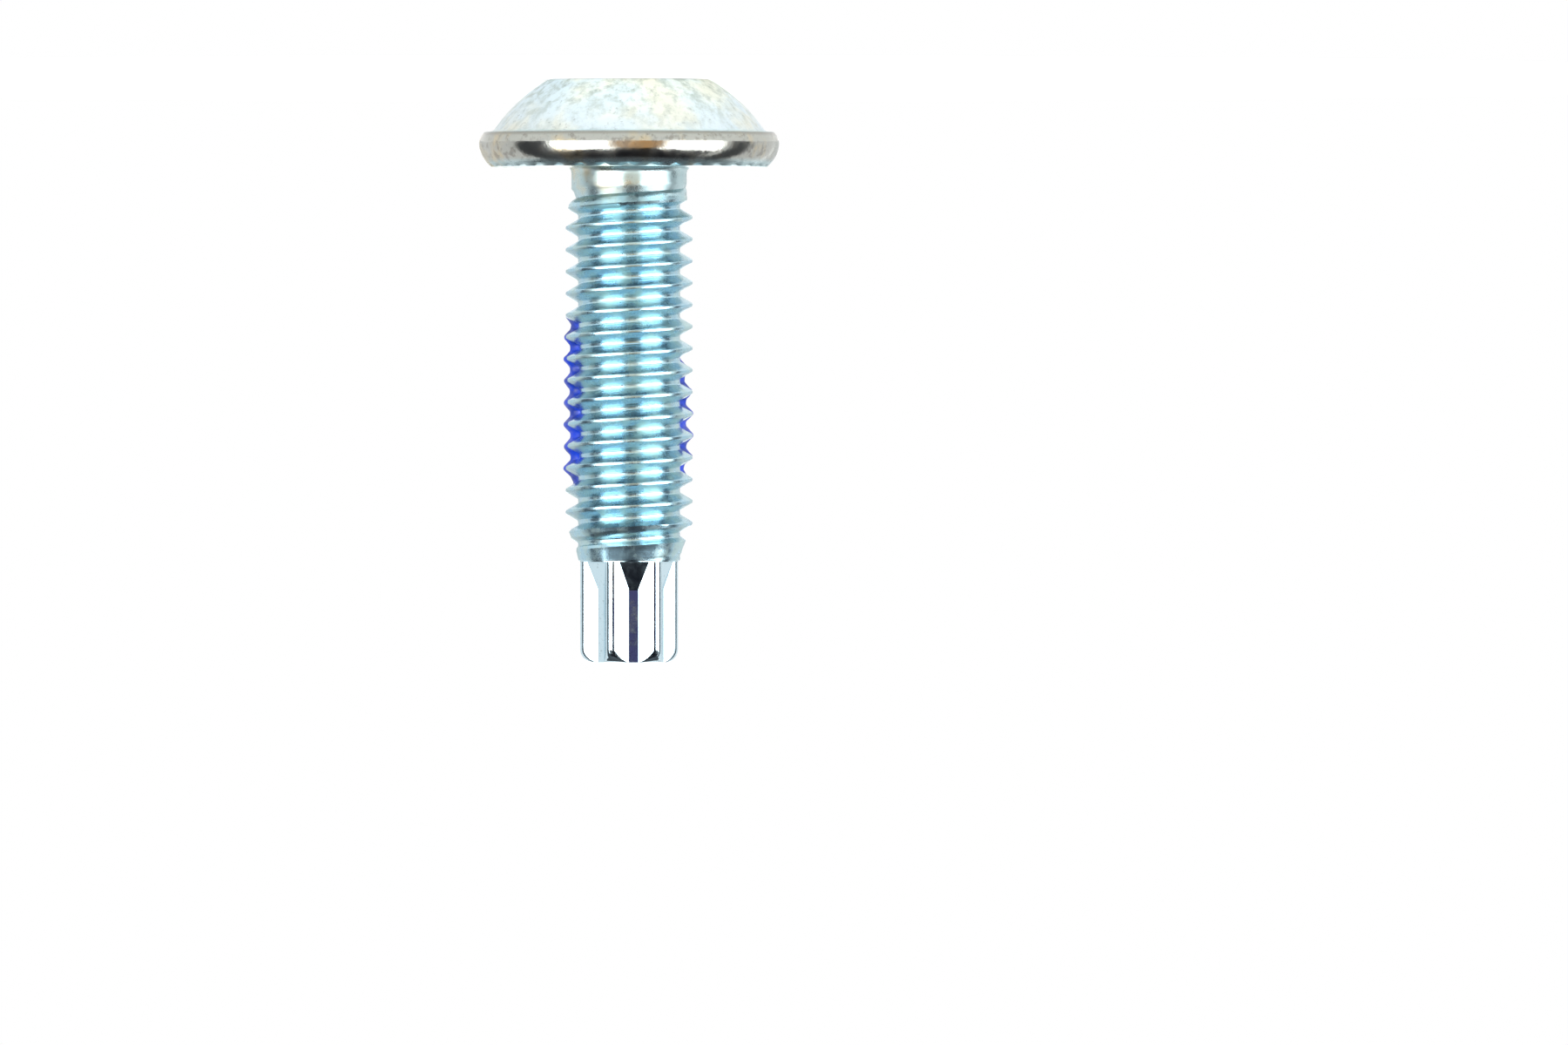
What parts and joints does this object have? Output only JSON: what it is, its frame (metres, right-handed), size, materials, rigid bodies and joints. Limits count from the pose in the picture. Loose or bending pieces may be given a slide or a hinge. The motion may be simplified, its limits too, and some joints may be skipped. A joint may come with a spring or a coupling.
{
  "type": "self drilling screw",
  "caption": "Dome-head flanged machine screw with a fluted self-drilling point, serrations under the flange and a nylon locking patch.",
  "frame": {"origin": "centre of the head's flat top, which it stands on", "axes": "+Z along the screw's axis, from the head to the point; the locking patch is on the +Y side"},
  "size_m": [0.0138, 0.0138, 0.0269],
  "materials": {
    "zinc_plated_steel": "bright zinc plate with a clear blue passivate",
    "blue_nylon": "fused nylon, satin"
  },
  "bodies": {
    "root": {"screw": "zinc_plated_steel", "locking_patch": "blue_nylon"}
  },
  "joints": []
}
